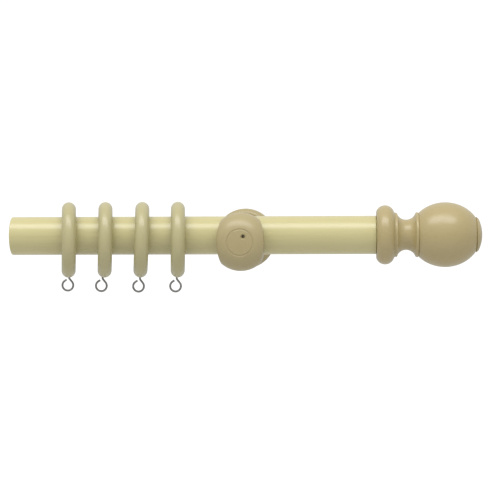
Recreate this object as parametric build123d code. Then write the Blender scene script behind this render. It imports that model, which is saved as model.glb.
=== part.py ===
from build123d import *
import os
from math import asin, atan2, cos, degrees, pi, radians, sin, sqrt

os.makedirs("parts", exist_ok=True)

# The end length of a painted wooden curtain pole: the pole, its turned bracket, a ball finial and
# four rings with screw eyes. Millimetres. The origin is the middle of the bracket's wall face.
# +X runs along the pole towards the finial, +Y runs into the wall and +Z is up.

# ---------------------------------------------------------------- driving dimensions
# Pole
rod_diameter = 28.0
rod_left_reach = 169.3          # bracket centre to the end where the next length joins on
rod_right_reach = 98.3          # bracket centre to the end that carries the finial
rod_edge_chamfer = 0.5
rod_projection = 60.0           # wall face to the pole's axis
rod_rise = 4.2                  # pole's axis above the bracket's turned axis
joint_bore_diameter = 5.0       # pilot for the double-ended screw that joins two lengths
joint_bore_depth = 32.0

# Finial, a single turning: collar bead, cove neck, neck ring, ball and end button
collar_overhang = 7.6           # collar's bead beyond the pole, each side
collar_bead_radius = 6.8
collar_face_overhang = 3.5      # collar's flat face beyond the pole, each side
collar_step_diameter = 33.2
collar_step_length = 2.4
neck_diameter = 22.1
cove_radius = 7.2
cove_mouth_diameter = 29.6
neck_ring_diameter = 32.8
neck_ring_length = 2.4
ball_diameter = 47.2
ball_length = 52.2
button_diameter = 26.0
button_rim_length = 1.5
button_rim_taper = 1.4
button_dome_height = 2.7
groove_depth = 0.5
finial_screw_diameter = 5.0
finial_screw_in_rod = 24.0
finial_screw_in_finial = 26.0
finial_joint_gap = 0.05         # finial's face to the pole's end face

# Bracket: wall rosette, turned arm with a cup for the pole, and the fixings inside them
rosette_rim = 4.6               # rosette's wall around the pocket for the wall plate
rosette_thickness = 13.0
rosette_back_round = 1.0
rosette_front_round = 5.0
rosette_web = 4.5
shoulder_diameter = 31.0
shoulder_bead_length = 4.0
spigot_diameter = 16.0
waist_diameter = 21.0
cup_wall = 6.9                  # head's rim around the cup
head_back_round = 10.0
head_front_round = 14.7
head_cheek_half_width = 17.0
head_cheek_radius = 45.0        # the cheeks are sanded slightly round, not flat
cup_clearance = 0.3             # cup to pole
facet_diameter = 19.8           # nearly flat middle of the rounded front
facet_groove_width = 0.8
facet_groove_depth = 0.45
facet_crown = 0.5
pilot_chamfer = 1.2

wall_plate_diameter = 36.0
wall_plate_thickness = 3.0
wall_hole_diameter = 4.6
wall_hole_spacing = 22.0
wall_countersink_diameter = 8.4
stud_diameter = 6.0
stud_past_insert = 7.2          # stud's end beyond the insert
stud_back_recess = 0.3
nut_across_flats = 10.0
nut_height = 5.0
insert_diameter = 9.0
insert_length = 14.0
stud_well = 2.5                 # free depth beyond the stud's end

lock_screw_diameter = 2.0
lock_screw_length = 12.5
lock_screw_x = 2.4
lock_screw_tip_gap = 0.3        # screw's tip to the pole

# Rings and their screw eyes
ring_count = 4
ring_bore_play = 6.6            # ring's bore over the pole's diameter
ring_width = 10.3
ring_depth = 10.5
ring_pitch = 26.85
ring_first_x = -46.95           # the ring nearest the bracket
ring_rest_gap = 0.3             # ring's bore to the top of the pole
ring_yaw = (9.4, 8.2, 7.0, 5.7)             # each ring hangs a little out of square
ring_lean = (0.8, 1.3, 2.2, 0.6)
eye_drill_offset = (0.3, -1.4, -0.2, -0.7)  # eye's hole from the ring's middle plane
eye_wire_diameter = 1.5
eye_stand_out = (0.0, 0.5, 0.9, 0.8)        # how far each eye is short of screwed right in
eye_loop_diameter = 9.4
eye_loop_offset = 0.8           # loop's middle from the line of its shank
eye_drop = 5.6                  # ring's outside to the loop's middle
eye_neck = 0.3                  # ring's outside to the bend
eye_bend_radius = 1.5
eye_mouth = 2.0                 # opening between the wire's end and the bend
eye_shank_length = 8.0

# Clearances
fit_clearance = 0.05            # radial, screw in its hole or piece in its socket
seat_clearance = 0.3            # radial, loose pocket around a piece
hole_spare = 0.4                # extra depth past the end of a screw

# ---------------------------------------------------------------- derived places
rod_radius = rod_diameter / 2
collar_diameter = rod_diameter + 2 * collar_overhang
collar_face_diameter = rod_diameter + 2 * collar_face_overhang
ring_outer_diameter = rod_diameter + ring_bore_play + 2 * ring_depth
rod_y = -rod_projection
cup_radius = rod_radius + cup_clearance
cup_front_y = rod_y - cup_radius
cup_back_y = rod_y + cup_radius
head_radius = cup_radius + cup_wall
front_round_y = cup_front_y
facet_radius = facet_diameter / 2
front_round_centre_r = head_radius - head_front_round
facet_slope = asin((facet_radius - front_round_centre_r) / head_front_round)
facet_edge_y = front_round_y - head_front_round * cos(facet_slope)
facet_face_y = facet_edge_y - facet_crown
rosette_pocket_radius = wall_plate_diameter / 2 + seat_clearance
rosette_pocket_depth = rosette_thickness - rosette_web
rosette_radius = rosette_pocket_radius + rosette_rim
arm_start_y = -rosette_pocket_depth - seat_clearance
stud_reach = -arm_start_y + insert_length + stud_past_insert
ring_centre_drop = ring_outer_diameter / 2 - ring_depth - rod_radius - ring_rest_gap


def turned(edges, axis):
    """A solid of revolution from the closed outline of half its section."""
    return revolve(make_face(edges), axis)


def dome_middle(rim_radius, height):
    """A shallow dome's outline halfway from rim to tip: its radius and its depth below the tip."""
    sphere_radius = (rim_radius ** 2 + height ** 2) / (2 * height)
    slope = asin(rim_radius / sphere_radius) / 2
    return sphere_radius * sin(slope), sphere_radius * (1 - cos(slope))


def rod_cylinder(radius, x_from, x_to):
    """A cylinder on the pole's axis between two places along it."""
    start = Plane(origin=(x_from, rod_y, rod_rise), z_dir=(1, 0, 0))
    return extrude(start * Circle(radius), x_to - x_from)


def wall_cylinder(radius, y_from, y_to, x=0.0, z=0.0):
    """A cylinder square to the wall, from y_from out to y_to."""
    start = Plane(origin=(x, y_from, z), z_dir=(0, -1, 0))
    return extrude(start * Circle(radius), y_from - y_to)


def wall_screw_heights():
    """Heights of the wall plate's two screw holes."""
    return (-wall_hole_spacing / 2, wall_hole_spacing / 2)


# ---------------------------------------------------------------- pole and finial
def make_rod():
    rod = rod_cylinder(rod_radius, -rod_left_reach, rod_right_reach)
    rod = chamfer(rod.edges().filter_by(GeomType.CIRCLE), rod_edge_chamfer)
    joint_bore = rod_cylinder(joint_bore_diameter / 2, -rod_left_reach,
                              -rod_left_reach + joint_bore_depth)
    screw_hole_radius = finial_screw_diameter / 2 + fit_clearance
    screw_hole = rod_cylinder(screw_hole_radius,
                              rod_right_reach - finial_screw_in_rod - hole_spare, rod_right_reach)
    return rod - joint_bore - screw_hole


def make_finial():
    # The outline is drawn with X along the turning and Y as the radius.
    face_r = collar_face_diameter / 2
    bead_top_r = collar_diameter / 2
    bead_centre_r = bead_top_r - collar_bead_radius
    bead_centre_x = sqrt(collar_bead_radius ** 2 - (face_r - bead_centre_r) ** 2)
    step_r = collar_step_diameter / 2
    bead_end_x = bead_centre_x + sqrt(collar_bead_radius ** 2 - (step_r - bead_centre_r) ** 2)
    step_end_x = bead_end_x + collar_step_length
    mouth_r = cove_mouth_diameter / 2
    cove_centre_r = neck_diameter / 2 + cove_radius
    cove_half = sqrt(cove_radius ** 2 - (cove_centre_r - mouth_r) ** 2)
    cove_middle_x = step_end_x + cove_half
    cove_end_x = cove_middle_x + cove_half
    ring_r = neck_ring_diameter / 2
    ring_end_x = cove_end_x + neck_ring_length
    ball_r = ball_diameter / 2
    ball_half = ball_length / 2
    ball_start_r = ring_r - groove_depth / 2
    ball_start_angle = degrees(asin(ball_start_r / ball_r))
    ball_centre_x = ring_end_x + groove_depth + ball_half * cos(radians(ball_start_angle))
    button_r = button_diameter / 2
    ball_end_r = button_r - groove_depth
    ball_end_angle = degrees(asin(ball_end_r / ball_r))
    ball_end_x = ball_centre_x + ball_half * cos(radians(ball_end_angle))
    rim_start_x = ball_end_x + groove_depth
    rim_end_x = rim_start_x + button_rim_length
    tip_x = rim_end_x + button_dome_height
    dome_r = button_r - button_rim_taper
    dome_mid_r, dome_mid_depth = dome_middle(dome_r, button_dome_height)

    ball = EllipticalCenterArc((ball_centre_x, 0), ball_half, ball_r, ball_end_angle,
                               arc_size=180 - ball_start_angle - ball_end_angle)
    edges = [
        Line((0, 0), (0, face_r)),
        ThreePointArc((0, face_r), (bead_centre_x, bead_top_r), (bead_end_x, step_r)),
        Line((bead_end_x, step_r), (step_end_x, step_r - groove_depth)),
        Line((step_end_x, step_r - groove_depth), (step_end_x, mouth_r)),
        ThreePointArc((step_end_x, mouth_r), (cove_middle_x, neck_diameter / 2),
                      (cove_end_x, mouth_r)),
        Line((cove_end_x, mouth_r), (cove_end_x + groove_depth, ring_r - groove_depth)),
        ThreePointArc((cove_end_x + groove_depth, ring_r - groove_depth),
                      ((cove_end_x + groove_depth + ring_end_x) / 2, ring_r),
                      (ring_end_x, ring_r - groove_depth / 2)),
        Line((ring_end_x, ring_r - groove_depth / 2), ball @ 1),
        ball,
        Line(ball @ 0, (rim_start_x, button_r)),
        Line((rim_start_x, button_r), (rim_end_x, dome_r)),
        ThreePointArc((rim_end_x, dome_r), (tip_x - dome_mid_depth, dome_mid_r), (tip_x, 0)),
        Line((tip_x, 0), (0, 0)),
    ]
    finial = turned(edges, Axis.X)
    screw_hole = extrude(Plane.YZ * Circle(finial_screw_diameter / 2 + fit_clearance),
                         finial_screw_in_finial + hole_spare)
    place = Pos(rod_right_reach + finial_joint_gap, rod_y, rod_rise)
    return place * (finial - screw_hole)


def make_finial_screw():
    return rod_cylinder(finial_screw_diameter / 2, rod_right_reach - finial_screw_in_rod,
                        rod_right_reach + finial_screw_in_finial)


# ---------------------------------------------------------------- bracket
def make_wall_plate():
    plate = wall_cylinder(wall_plate_diameter / 2, 0, -wall_plate_thickness)
    plate -= wall_cylinder(stud_diameter / 2 + fit_clearance, 0, -wall_plate_thickness)
    sink_depth = (wall_countersink_diameter - wall_hole_diameter) / 2
    sink_top = Plane(origin=(0, -wall_plate_thickness, 0), z_dir=(0, -1, 0))
    for z in wall_screw_heights():
        plate -= wall_cylinder(wall_hole_diameter / 2, 0, -wall_plate_thickness, z=z)
        cone = Cone(wall_hole_diameter / 2, wall_countersink_diameter / 2, sink_depth,
                    align=(Align.CENTER, Align.CENTER, Align.MAX))
        plate -= Pos(0, 0, z) * sink_top * cone
    return plate


def make_mount_stud():
    return wall_cylinder(stud_diameter / 2, -stud_back_recess, -stud_reach)


def make_stud_nut():
    start = Plane(origin=(0, -wall_plate_thickness, 0), x_dir=(1, 0, 0), z_dir=(0, -1, 0))
    hexagon = RegularPolygon(nut_across_flats / 2, 6, major_radius=False)
    bore = Circle(stud_diameter / 2 + fit_clearance)
    return extrude(start * (hexagon - bore), nut_height)


def make_rosette():
    r = rosette_radius
    back = rosette_back_round
    front = rosette_front_round
    t = rosette_thickness
    pocket_r = rosette_pocket_radius
    pocket_y = -rosette_pocket_depth
    hole_r = spigot_diameter / 2 + fit_clearance
    quarter = sin(pi / 4)
    edges = [
        Line((pocket_r, 0), (r - back, 0)),
        ThreePointArc((r - back, 0), (r - back + back * quarter, -back + back * quarter), (r, -back)),
        Line((r, -back), (r, front - t)),
        ThreePointArc((r, front - t),
                      (r - front + front * quarter, front - t - front * quarter), (r - front, -t)),
        Line((r - front, -t), (hole_r, -t)),
        Line((hole_r, -t), (hole_r, pocket_y)),
        Line((hole_r, pocket_y), (pocket_r, pocket_y)),
        Line((pocket_r, pocket_y), (pocket_r, 0)),
    ]
    return turned(edges, Axis.Y)


def arm_blank():
    """The arm as it comes off the lathe, before the cup and cheeks are cut."""
    start_y = arm_start_y
    shoulder_y = -rosette_thickness
    shoulder_r = shoulder_diameter / 2
    bead_end_y = shoulder_y - shoulder_bead_length
    waist_r = waist_diameter / 2
    back_round_y = cup_back_y
    head_back_y = back_round_y + head_back_round
    head_back_r = head_radius - head_back_round
    cove_mouth_r = shoulder_r - 1.5
    cove_middle_y = (bead_end_y + head_back_y) / 2
    quarter = sin(pi / 4)
    slope_mid = (pi / 2 + facet_slope) / 2
    groove_mid_y = facet_edge_y + facet_groove_depth
    inner_r = facet_radius - facet_groove_width
    crown_mid_r, crown_mid_depth = dome_middle(inner_r, facet_crown)
    edges = [
        Line((0, start_y), (spigot_diameter / 2, start_y)),
        Line((spigot_diameter / 2, start_y), (spigot_diameter / 2, shoulder_y)),
        Line((spigot_diameter / 2, shoulder_y), (shoulder_r - 1, shoulder_y)),
        ThreePointArc((shoulder_r - 1, shoulder_y), (shoulder_r, (shoulder_y + bead_end_y) / 2),
                      (shoulder_r - 1, bead_end_y)),
        Line((shoulder_r - 1, bead_end_y), (cove_mouth_r, bead_end_y)),
        ThreePointArc((cove_mouth_r, bead_end_y), (waist_r, cove_middle_y),
                      (head_back_r, head_back_y)),
        ThreePointArc((head_back_r, head_back_y),
                      (head_back_r + head_back_round * quarter,
                       back_round_y + head_back_round * quarter),
                      (head_radius, back_round_y)),
        Line((head_radius, back_round_y), (head_radius, front_round_y)),
        ThreePointArc((head_radius, front_round_y),
                      (front_round_centre_r + head_front_round * sin(slope_mid),
                       front_round_y - head_front_round * cos(slope_mid)),
                      (facet_radius, facet_edge_y)),
        Line((facet_radius, facet_edge_y), (facet_radius - facet_groove_width / 2, groove_mid_y)),
        Line((facet_radius - facet_groove_width / 2, groove_mid_y), (inner_r, facet_edge_y)),
        ThreePointArc((inner_r, facet_edge_y), (crown_mid_r, facet_face_y + crown_mid_depth),
                      (0, facet_face_y)),
        Line((0, facet_face_y), (0, start_y)),
    ]
    return turned(edges, Axis.Y)


def make_bracket_arm():
    arm = arm_blank()
    # The cup: a half-round seat open at the top, so the pole drops in from above.
    half = 2 * head_radius
    seat = Plane(origin=(-half, rod_y, rod_rise), x_dir=(0, 1, 0), z_dir=(1, 0, 0))
    opening = Rectangle(2 * cup_radius, 2 * half, align=(Align.CENTER, Align.MIN))
    arm -= extrude(seat * (Circle(cup_radius) + opening), 2 * half)
    # The two cheeks, each a slightly round face where the pole comes out.
    cheek_middle = head_cheek_radius - head_cheek_half_width
    for side in (-1, 1):
        arm &= wall_cylinder(head_cheek_radius, 0, facet_face_y - head_radius,
                             x=side * cheek_middle)
    # Inside: the threaded insert's hole, a well for the stud and the locking screw's hole.
    insert_end_y = arm_start_y - insert_length - hole_spare
    arm -= wall_cylinder(insert_diameter / 2 + fit_clearance, 0, insert_end_y)
    arm -= wall_cylinder(stud_diameter / 2 + seat_clearance, 0, -stud_reach - stud_well)
    pilot_radius = lock_screw_diameter / 2 + fit_clearance
    arm -= wall_cylinder(pilot_radius, rod_y, facet_face_y - head_radius,
                         x=lock_screw_x, z=rod_rise)
    mouth = Plane(origin=(lock_screw_x, facet_face_y, rod_rise), z_dir=(0, -1, 0))
    arm -= mouth * Cone(pilot_radius, pilot_radius + pilot_chamfer, pilot_chamfer,
                        align=(Align.CENTER, Align.CENTER, Align.MAX))
    return arm


def make_arm_insert():
    insert = wall_cylinder(insert_diameter / 2, arm_start_y, arm_start_y - insert_length)
    return insert - wall_cylinder(stud_diameter / 2 + fit_clearance, 0, -stud_reach)


def make_lock_screw():
    # Its tip bears on the front of the pole, level with the pole's axis.
    tip_y = rod_y - rod_radius - lock_screw_tip_gap
    return wall_cylinder(lock_screw_diameter / 2, tip_y, tip_y - lock_screw_length,
                         x=lock_screw_x, z=rod_rise)


# ---------------------------------------------------------------- rings and screw eyes
def ring_place(number):
    """Where ring number 1, 2, ... hangs, counted from the pole's joint end."""
    x = ring_first_x - (ring_count - number) * ring_pitch
    place = Pos(x, rod_y, rod_rise - ring_centre_drop)
    return place * Rotation(0, ring_lean[number - 1], 0) * Rotation(0, 0, ring_yaw[number - 1])


def make_ring(number):
    tube_middle = (ring_outer_diameter - ring_depth) / 2
    section = Pos(0, tube_middle) * Ellipse(ring_width / 2, ring_depth / 2)
    ring = revolve(section, Axis.X)
    hole = extrude(Pos(eye_drill_offset[number - 1], 0, -ring_outer_diameter / 2 - 1)
                   * Circle(eye_wire_diameter / 2 + fit_clearance),
                   eye_shank_length + hole_spare + 1)
    return ring_place(number) * (ring - hole)


def make_eye(number):
    # Drawn with the ring's outside at height 0 and the shank on the upright axis.
    wire_r = eye_wire_diameter / 2
    loop_r = (eye_loop_diameter - eye_wire_diameter) / 2
    bend = (0, -eye_neck)
    loop = (-eye_loop_offset, -eye_drop)
    distance = sqrt((loop[0] - bend[0]) ** 2 + (loop[1] - bend[1]) ** 2)
    side = sqrt(distance ** 2 - loop_r ** 2)
    aim = atan2(loop[1] - bend[1], loop[0] - bend[0])
    spread = asin(loop_r / distance)
    right = (bend[0] + side * cos(aim + spread), bend[1] + side * sin(aim + spread))
    left_turn = degrees(aim - spread) - 90
    right_turn = degrees(aim + spread) + 90
    left_end = (bend[0] + eye_mouth * cos(aim - spread), bend[1] + eye_mouth * sin(aim - spread))
    left = (bend[0] + side * cos(aim - spread), bend[1] + side * sin(aim - spread))
    outline = [
        FilletPolyline((0, eye_shank_length), bend, right, radius=eye_bend_radius),
        CenterArc(loop, loop_r, right_turn, (left_turn - right_turn) % 360 - 360),
        Line(left, left_end),
    ]
    path = Plane.XZ * Wire([edge for piece in outline for edge in piece.edges()])
    section = Plane(origin=(0, 0, eye_shank_length), z_dir=(0, 0, -1)) * Circle(wire_r)
    eye = sweep(section, path)
    low = -ring_outer_diameter / 2 - eye_stand_out[number - 1]
    drop = Pos(eye_drill_offset[number - 1], 0, low)
    return ring_place(number) * drop * eye


# ---------------------------------------------------------------- every piece, one file each
pieces = {
    "rod": make_rod(),
    "finial": make_finial(),
    "finial_screw": make_finial_screw(),
    "wall_plate": make_wall_plate(),
    "mount_stud": make_mount_stud(),
    "stud_nut": make_stud_nut(),
    "rosette": make_rosette(),
    "bracket_arm": make_bracket_arm(),
    "arm_insert": make_arm_insert(),
    "lock_screw": make_lock_screw(),
}
for number in range(1, ring_count + 1):
    pieces[f"ring_{number}"] = make_ring(number)
    pieces[f"eye_{number}"] = make_eye(number)

for name, solid in pieces.items():
    export_step(solid, f"parts/{name}.step")
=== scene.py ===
from math import asin, atan2, cos, degrees, pi, radians, sin, sqrt

import bmesh
import bpy
from mathutils import Matrix, Vector


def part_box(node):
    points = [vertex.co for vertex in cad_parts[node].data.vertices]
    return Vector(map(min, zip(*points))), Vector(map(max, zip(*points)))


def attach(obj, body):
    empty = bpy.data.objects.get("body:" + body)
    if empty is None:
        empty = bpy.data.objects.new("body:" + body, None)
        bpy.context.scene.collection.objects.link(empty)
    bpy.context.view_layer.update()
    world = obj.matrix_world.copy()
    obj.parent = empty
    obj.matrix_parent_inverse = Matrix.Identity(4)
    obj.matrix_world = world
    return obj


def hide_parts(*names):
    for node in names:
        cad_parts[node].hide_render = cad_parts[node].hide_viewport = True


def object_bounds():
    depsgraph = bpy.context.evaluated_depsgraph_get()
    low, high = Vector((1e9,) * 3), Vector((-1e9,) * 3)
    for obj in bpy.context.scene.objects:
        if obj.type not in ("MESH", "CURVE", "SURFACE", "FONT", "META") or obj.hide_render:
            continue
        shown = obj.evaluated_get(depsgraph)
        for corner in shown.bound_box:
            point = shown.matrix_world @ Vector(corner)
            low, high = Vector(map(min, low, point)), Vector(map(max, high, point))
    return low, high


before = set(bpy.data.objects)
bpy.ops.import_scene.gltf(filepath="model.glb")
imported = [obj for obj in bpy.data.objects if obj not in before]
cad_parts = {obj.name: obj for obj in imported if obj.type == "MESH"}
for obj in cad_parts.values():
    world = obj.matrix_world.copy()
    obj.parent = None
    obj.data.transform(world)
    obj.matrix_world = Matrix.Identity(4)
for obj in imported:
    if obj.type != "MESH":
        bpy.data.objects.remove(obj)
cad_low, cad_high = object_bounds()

# ---------- wall plate
# A 3 mm steel disc, blanked and punched, that is screwed to the wall first. Its two outer holes
# are countersunk for wall screws and the middle one takes the stud. Bright zinc plating.


def section_arc(centre, radii, start, end, steps):
    """Points of an arc in a turned section, between two angles in degrees."""
    points = []
    for step in range(steps + 1):
        angle = radians(start + (end - start) * step / steps)
        points.append((centre[0] + radii[0] * cos(angle), centre[1] + radii[1] * sin(angle)))
    return points


def eased_section(outline, ease, closed):
    """Rounds a section's sharp corners, and marks points as ridges (above 0) or hollows (below)."""
    corner_turn = radians(14)
    full_turn = radians(60)
    blend_steps = 4
    count = len(outline)
    area = sum(outline[i - 1][0] * outline[i][1] - outline[i][0] * outline[i - 1][1]
               for i in range(count))
    points = []
    for i, here in enumerate(outline):
        here = Vector(here)
        if not closed and i in (0, count - 1):
            points.append((here, 0.0))
            continue
        before = Vector(outline[i - 1]) - here
        after = Vector(outline[(i + 1) % count]) - here
        turn = pi - before.angle(after, pi)
        if turn < corner_turn:
            points.append((here, 0.0))
            continue
        outside = (-before).cross(after) * area > 0
        mark = (1.0 if outside else -1.0) * min(1.0, turn / full_turn)
        reach = min(ease, before.length * 0.3, after.length * 0.3)
        first = here + before.normalized() * reach
        last = here + after.normalized() * reach
        points.append((here + before.normalized() * reach * 1.6, 0.0))
        for step in range(blend_steps + 1):
            t = step / blend_steps
            middle = first * (1 - t) ** 2 + here * 2 * t * (1 - t) + last * t ** 2
            points.append((middle, mark * (1 - abs(2 * t - 1) * 0.6)))
        points.append((here + after.normalized() * reach * 1.6, 0.0))
    return points


def spun(outline, origin, axis, sides, ease=0.25, closed=False):
    """Spins half a section, in millimetres along and out from an axis, into a closed turning."""
    bm = bmesh.new()
    ridge = bm.verts.layers.float.new("ridge")
    hollow = bm.verts.layers.float.new("hollow")
    along = Vector(axis)
    out = Vector((0, 0, 1))
    verts = []
    for point, mark in eased_section(outline, ease, closed):
        vert = bm.verts.new(Vector(origin) + (along * point.x + out * point.y) * 0.001)
        vert[ridge] = max(0.0, mark)
        vert[hollow] = max(0.0, -mark)
        verts.append(vert)
    edges = [bm.edges.new(pair) for pair in zip(verts, verts[1:])]
    if closed:
        edges.append(bm.edges.new((verts[-1], verts[0])))
    bmesh.ops.spin(bm, geom=verts + edges, cent=origin, axis=along, angle=2 * pi, steps=sides,
                   use_merge=True)
    bmesh.ops.remove_doubles(bm, verts=bm.verts, dist=0.000002)
    bmesh.ops.recalc_face_normals(bm, faces=bm.faces)
    return bm


def applied(piece):
    """Makes a piece's modifiers part of its mesh."""
    shape = piece.evaluated_get(bpy.context.evaluated_depsgraph_get())
    mesh = bpy.data.meshes.new_from_object(shape)
    piece.modifiers.clear()
    piece.data = mesh


def placed(name, data):
    """A new object in the scene."""
    thing = bpy.data.objects.new(name, data)
    bpy.context.scene.collection.objects.link(thing)
    return thing


def cut(piece, tool, operation="DIFFERENCE"):
    """Takes a tool's solid out of a piece, or keeps only what lies inside it."""
    body = bpy.data.meshes.new("tool")
    bmesh.ops.recalc_face_normals(tool, faces=tool.faces)
    tool.to_mesh(body)
    tool.free()
    cutter = placed("tool", body)
    modifier = piece.modifiers.new("cut", "BOOLEAN")
    modifier.operation = operation
    modifier.solver = "EXACT"
    modifier.object = cutter
    applied(piece)
    bpy.data.objects.remove(cutter)


def drill(radius_start, radius_end, start, end, sides=48):
    """A round tool between two points, straight or tapered."""
    start, end = Vector(start), Vector(end)
    way = end - start
    turn = Vector((0, 0, 1)).rotation_difference(way).to_matrix().to_4x4()
    tool = bmesh.new()
    bmesh.ops.create_cone(tool, cap_ends=True, segments=sides, radius1=radius_start,
                          radius2=radius_end, depth=way.length,
                          matrix=Matrix.Translation((start + end) / 2) @ turn)
    return tool


def new_piece(bm, name):
    """A mesh object in the shared frame, at the origin."""
    mesh = bpy.data.meshes.new(name)
    bm.to_mesh(mesh)
    bm.free()
    return placed(name, mesh)


def finish_piece(piece, node, body, materials, sharp=40):
    """Smooth shading, materials and the CAD node that a piece stands for."""
    mesh = piece.data
    mesh.shade_smooth()
    mesh.set_sharp_from_angle(angle=radians(sharp))
    mesh.materials.clear()
    for material in materials:
        mesh.materials.append(material)
    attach(piece, body)
    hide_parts(node)


def put_node(tree, kind, inputs=None, **settings):
    """A shader node with its settings, and each input given a value or a link."""
    node = tree.nodes.new(kind)
    for key, value in settings.items():
        setattr(node, key, value)
    for key, value in (inputs or {}).items():
        if isinstance(value, bpy.types.NodeSocket):
            tree.links.new(value, node.inputs[key])
        else:
            node.inputs[key].default_value = value
    return node


def product(tree, first, second, extra=None):
    """Two masks or heights multiplied, with another added if there is one."""
    inputs = {0: first, 1: second}
    if extra is None:
        return put_node(tree, "ShaderNodeMath", inputs, operation="MULTIPLY").outputs[0]
    inputs[2] = extra
    return put_node(tree, "ShaderNodeMath", inputs, operation="MULTIPLY_ADD").outputs[0]


def noise_at(tree, place, scale, detail=2.0, roughness=0.5):
    """Smooth noise from 0 to 1, with its scale in turns per metre."""
    settings = {"Vector": place, "Scale": scale, "Detail": detail, "Roughness": roughness}
    return put_node(tree, "ShaderNodeTexNoise", settings).outputs["Fac"]


def faded(tree, value, low, high, to_low=0.0, to_high=1.0):
    """A value spread smoothly from one range to another."""
    settings = {"Value": value, "From Min": low, "From Max": high, "To Min": to_low,
                "To Max": to_high}
    node = put_node(tree, "ShaderNodeMapRange", settings, interpolation_type="SMOOTHSTEP")
    return node.outputs["Result"]


def blended(tree, amount, first, second, blend="MIX"):
    """Two colours mixed by a mask."""
    node = put_node(tree, "ShaderNodeMix", data_type="RGBA", blend_type=blend)
    for socket, value in ((node.inputs[0], amount), (node.inputs[6], first),
                          (node.inputs[7], second)):
        if isinstance(value, bpy.types.NodeSocket):
            tree.links.new(value, socket)
        else:
            socket.default_value = value
    return node.outputs[2]


def shader_group(name, inputs, outputs):
    """An empty node group with named sockets, and its input and output nodes."""
    tree = bpy.data.node_groups.new(name, "ShaderNodeTree")
    for label, kind, value in inputs:
        socket = tree.interface.new_socket(label, in_out="INPUT", socket_type="NodeSocket" + kind)
        socket.default_value = value
    for label, kind in outputs:
        tree.interface.new_socket(label, in_out="OUTPUT", socket_type="NodeSocket" + kind)
    return tree, tree.nodes.new("NodeGroupInput").outputs, tree.nodes.new("NodeGroupOutput").inputs


def plated_surface():
    """Shader group for handled metal: cloudy plating, scratches, a darker colour in the hollows and
    worn, lighter ridges.
    """
    tree, given, result = shader_group(
        "plated metal",
        [("Metal", "Color", (0.7, 0.7, 0.7, 1)), ("Grime", "Color", (0.1, 0.09, 0.08, 1)),
         ("Roughness", "Float", 0.3), ("Cloud Scale", "Float", 300.0),
         ("Scratch Stretch", "Vector", (1, 1, 1)),
         ("Ridge", "Float", 0.0), ("Hollow", "Float", 0.0)],
        [("Color", "Color"), ("Roughness", "Float"), ("Height", "Float")])
    place = put_node(tree, "ShaderNodeTexCoord").outputs["Object"]
    cloud = noise_at(tree, place, given["Cloud Scale"], 4.0)
    crystals = put_node(tree, "ShaderNodeTexVoronoi",
                        {"Vector": place, "Scale": 2600.0}).outputs["Distance"]
    stretched = put_node(tree, "ShaderNodeMapping",
                         {"Vector": place, "Scale": given["Scratch Stretch"]})
    scratches = noise_at(tree, stretched.outputs[0], 5000.0, 3.0, 0.7)
    scratch_mask = faded(tree, scratches, 0.55, 0.75)
    lighter = blended(tree, product(tree, given["Ridge"], 0.6), given["Metal"], (0.9, 0.9, 0.88, 1))
    clouded = blended(tree, faded(tree, cloud, 0.3, 0.7, 0.05, 0.42), lighter, given["Grime"])
    # The hollows are darkened toward the dark colour, in cloudy patches.
    hollow_darkening = product(tree, given["Hollow"], faded(tree, cloud, 0.3, 0.6, 0.5, 1.0))
    hollow_darkened = blended(tree, hollow_darkening, clouded, given["Grime"])
    tree.links.new(hollow_darkened, result["Color"])
    rough = product(tree, cloud, 0.22, given["Roughness"])
    rough = product(tree, scratch_mask, 0.12, rough)
    tree.links.new(product(tree, hollow_darkening, 0.3, rough), result["Roughness"])
    height = product(tree, scratch_mask, -0.004, product(tree, crystals, 0.004))
    tree.links.new(height, result["Height"])
    return tree


def grouped_material(name, group, values, marked=True):
    """A material that runs a shader group with its own values, and its principled shader."""
    material = bpy.data.materials.new(name)
    material.use_nodes = True
    tree = material.node_tree
    shader = tree.nodes["Principled BSDF"]
    surface = put_node(tree, "ShaderNodeGroup", values, node_tree=group)
    if marked:
        for label in ("ridge", "hollow"):
            mask = put_node(tree, "ShaderNodeAttribute", attribute_name=label).outputs["Fac"]
            tree.links.new(mask, surface.inputs[label.title()])
    tree.links.new(surface.outputs["Color"], shader.inputs["Base Color"])
    tree.links.new(surface.outputs["Roughness"], shader.inputs["Roughness"])
    relief = {"Height": surface.outputs["Height"], "Distance": 0.001}
    bump = put_node(tree, "ShaderNodeBump", relief)
    tree.links.new(bump.outputs[0], shader.inputs["Normal"])
    return material, shader


def metal_finish(name, metal, grime, roughness, stretch=(1, 1, 1), cloud=300.0):
    """A metal material with the plated surface and its own values."""
    values = {"Metal": (*metal, 1), "Grime": (*grime, 1), "Roughness": roughness,
              "Cloud Scale": cloud, "Scratch Stretch": stretch}
    material, shader = grouped_material(name, plated_metal, values)
    shader.inputs["Metallic"].default_value = 1.0
    return material


plated_metal = plated_surface()
zinc = metal_finish("bright zinc plating", (0.62, 0.63, 0.65), (0.20, 0.19, 0.17), 0.26, (1, 12, 1))

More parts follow.
